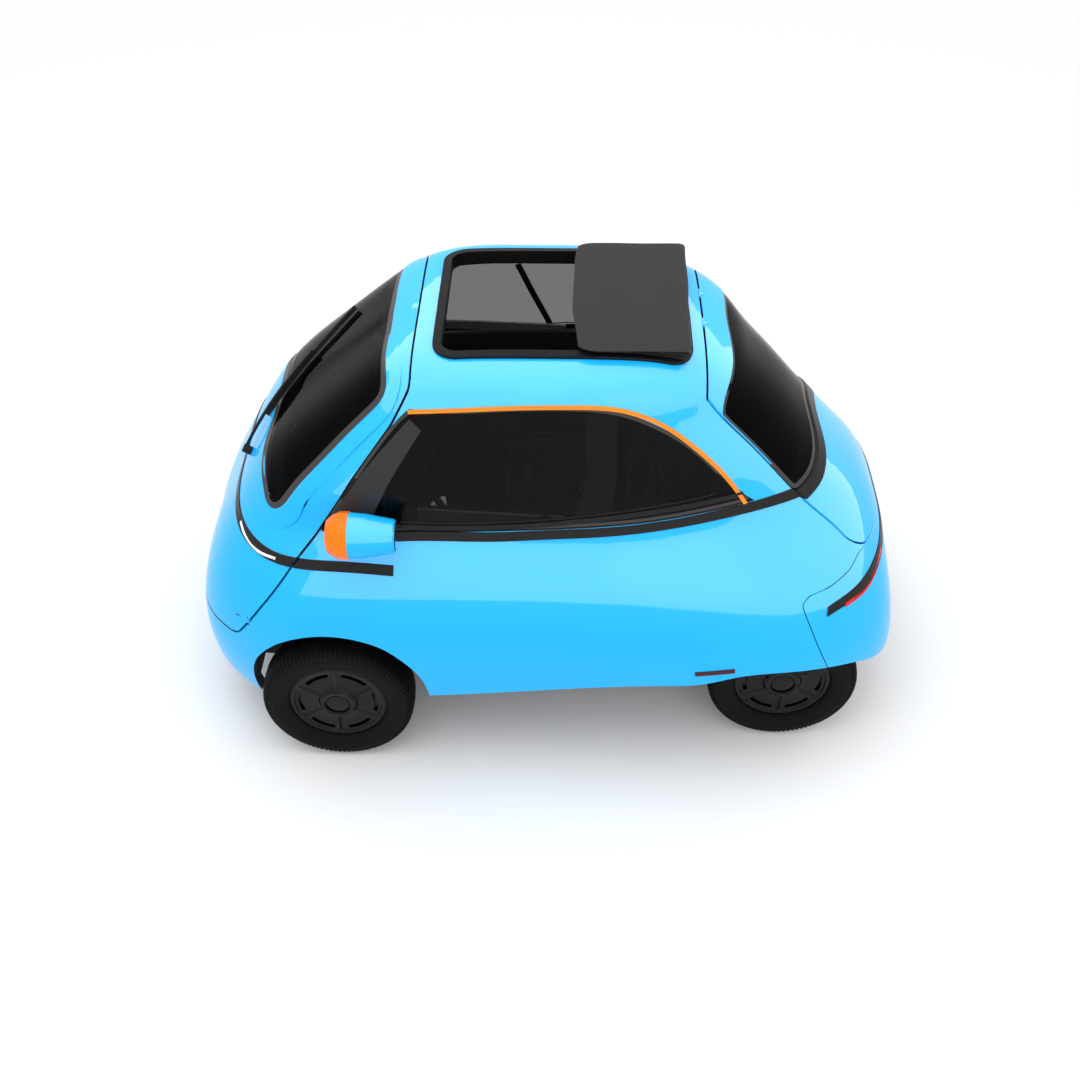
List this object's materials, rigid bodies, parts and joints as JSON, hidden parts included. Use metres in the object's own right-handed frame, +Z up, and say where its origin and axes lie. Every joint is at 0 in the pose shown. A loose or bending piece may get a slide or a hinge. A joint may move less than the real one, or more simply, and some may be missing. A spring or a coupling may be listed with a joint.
{
  "type": "microcar",
  "caption": "Sky-blue two-seat electric microcar with a front-opening door, rear hatch and folding fabric roof.",
  "frame": {"origin": "on the floor, below the middle of the overall box", "axes": "+X forward, +Y to the car's left, +Z up"},
  "size_m": [2.4765, 1.467, 1.513],
  "materials": {
    "sky_blue": "gloss",
    "tinted_glass": "polished",
    "black_trim": "gloss",
    "black_plastic": "matte",
    "roof_cloth": "matte",
    "seat_cloth": "matte",
    "tyre_rubber": "matte",
    "black_wheel": "satin",
    "black_steel": "satin",
    "motor_alloy": "satin",
    "orange_trim": "gloss",
    "mirror": "polished",
    "red_lens": "gloss",
    "pin_steel": "satin"
  },
  "bodies": {
    "chassis": {"body_shell": "sky_blue", "tail_panel": "sky_blue", "side_glass_left": "tinted_glass", "side_glass_right": "tinted_glass", "belt_trims": "black_trim", "light_bars_side": "black_trim", "tail_lamps": "black_trim", "sunroof_frame": "black_trim", "roof_fabric": "roof_cloth", "front_axle": "black_steel", "rear_axle": "black_steel", "motor_block": "motor_alloy", "floor_pan": "black_plastic", "wheel_liners": "black_plastic", "seat_base": "black_plastic", "battery_block": "black_steel", "seat_cushion": "seat_cloth", "seat_back": "seat_cloth", "steering_column": "black_plastic", "instrument_pod": "black_plastic", "pod_left": "sky_blue", "pod_right": "sky_blue", "pod_lamps": "orange_trim", "mirror_glasses": "mirror", "side_markers": "red_lens", "hinge_pins": "pin_steel"},
    "door": {"front_door": "sky_blue", "windscreen": "tinted_glass", "light_bar_front": "black_trim", "door_shelf": "black_plastic", "wiper": "black_plastic"},
    "hatch_lid": {"hatch": "sky_blue", "rear_glass": "tinted_glass", "rear_trim": "black_trim"},
    "knuckle_l": {"knuckle_left": "black_steel"},
    "knuckle_r": {"knuckle_right": "black_steel"},
    "wheel_fl": {"tyre_front_left": "tyre_rubber", "rim_front_left": "black_wheel"},
    "wheel_fr": {"tyre_front_right": "tyre_rubber", "rim_front_right": "black_wheel"},
    "wheel_rl": {"tyre_rear_left": "tyre_rubber", "rim_rear_left": "black_wheel"},
    "wheel_rr": {"tyre_rear_right": "tyre_rubber", "rim_rear_right": "black_wheel"},
    "steering": {"steering_wheel": "black_plastic"}
  },
  "joints": [
    {"name": "front_door_swing", "type": "hinge", "parent": "chassis", "child": "door", "pos_m": [1.0039, 0.609, 0.59], "axis": [0, 0, 1], "range_deg": [0, 70]},
    {"name": "hatch_lift", "type": "hinge", "parent": "chassis", "child": "hatch_lid", "pos_m": [-0.5006, 0, 1.45896], "axis": [0, 1, 0], "range_deg": [0, 75]},
    {"name": "steer_left", "type": "hinge", "parent": "chassis", "child": "knuckle_l", "pos_m": [0.7259, 0.562, 0.266], "axis": [0, 0, 1], "range_deg": [-30, 30]},
    {"name": "steer_right", "type": "hinge", "parent": "chassis", "child": "knuckle_r", "pos_m": [0.7259, -0.562, 0.266], "axis": [0, 0, 1], "range_deg": [-30, 30]},
    {"name": "steering_wheel_turn", "type": "hinge", "parent": "chassis", "child": "steering", "pos_m": [0.4339, 0.235, 0.905], "axis": [-0.8829, 0, 0.4695], "range_deg": [-360, 360]},
    {"name": "wheel_front_left_spin", "type": "hinge", "parent": "knuckle_l", "child": "wheel_fl", "pos_m": [0.7259, 0.632, 0.266], "axis": [0, 1, 0], "continuous": true},
    {"name": "wheel_front_right_spin", "type": "hinge", "parent": "knuckle_r", "child": "wheel_fr", "pos_m": [0.7259, -0.632, 0.266], "axis": [0, 1, 0], "continuous": true},
    {"name": "wheel_rear_left_spin", "type": "hinge", "parent": "chassis", "child": "wheel_rl", "pos_m": [-0.8401, 0.509, 0.266], "axis": [0, 1, 0], "continuous": true},
    {"name": "wheel_rear_right_spin", "type": "hinge", "parent": "chassis", "child": "wheel_rr", "pos_m": [-0.8401, -0.509, 0.266], "axis": [0, 1, 0], "continuous": true}
  ],
  "couplings": [
    {"joint": "steer_right", "follows": "steer_left", "ratio": 1},
    {"joint": "steering_wheel_turn", "follows": "steer_left", "ratio": 12}
  ]
}
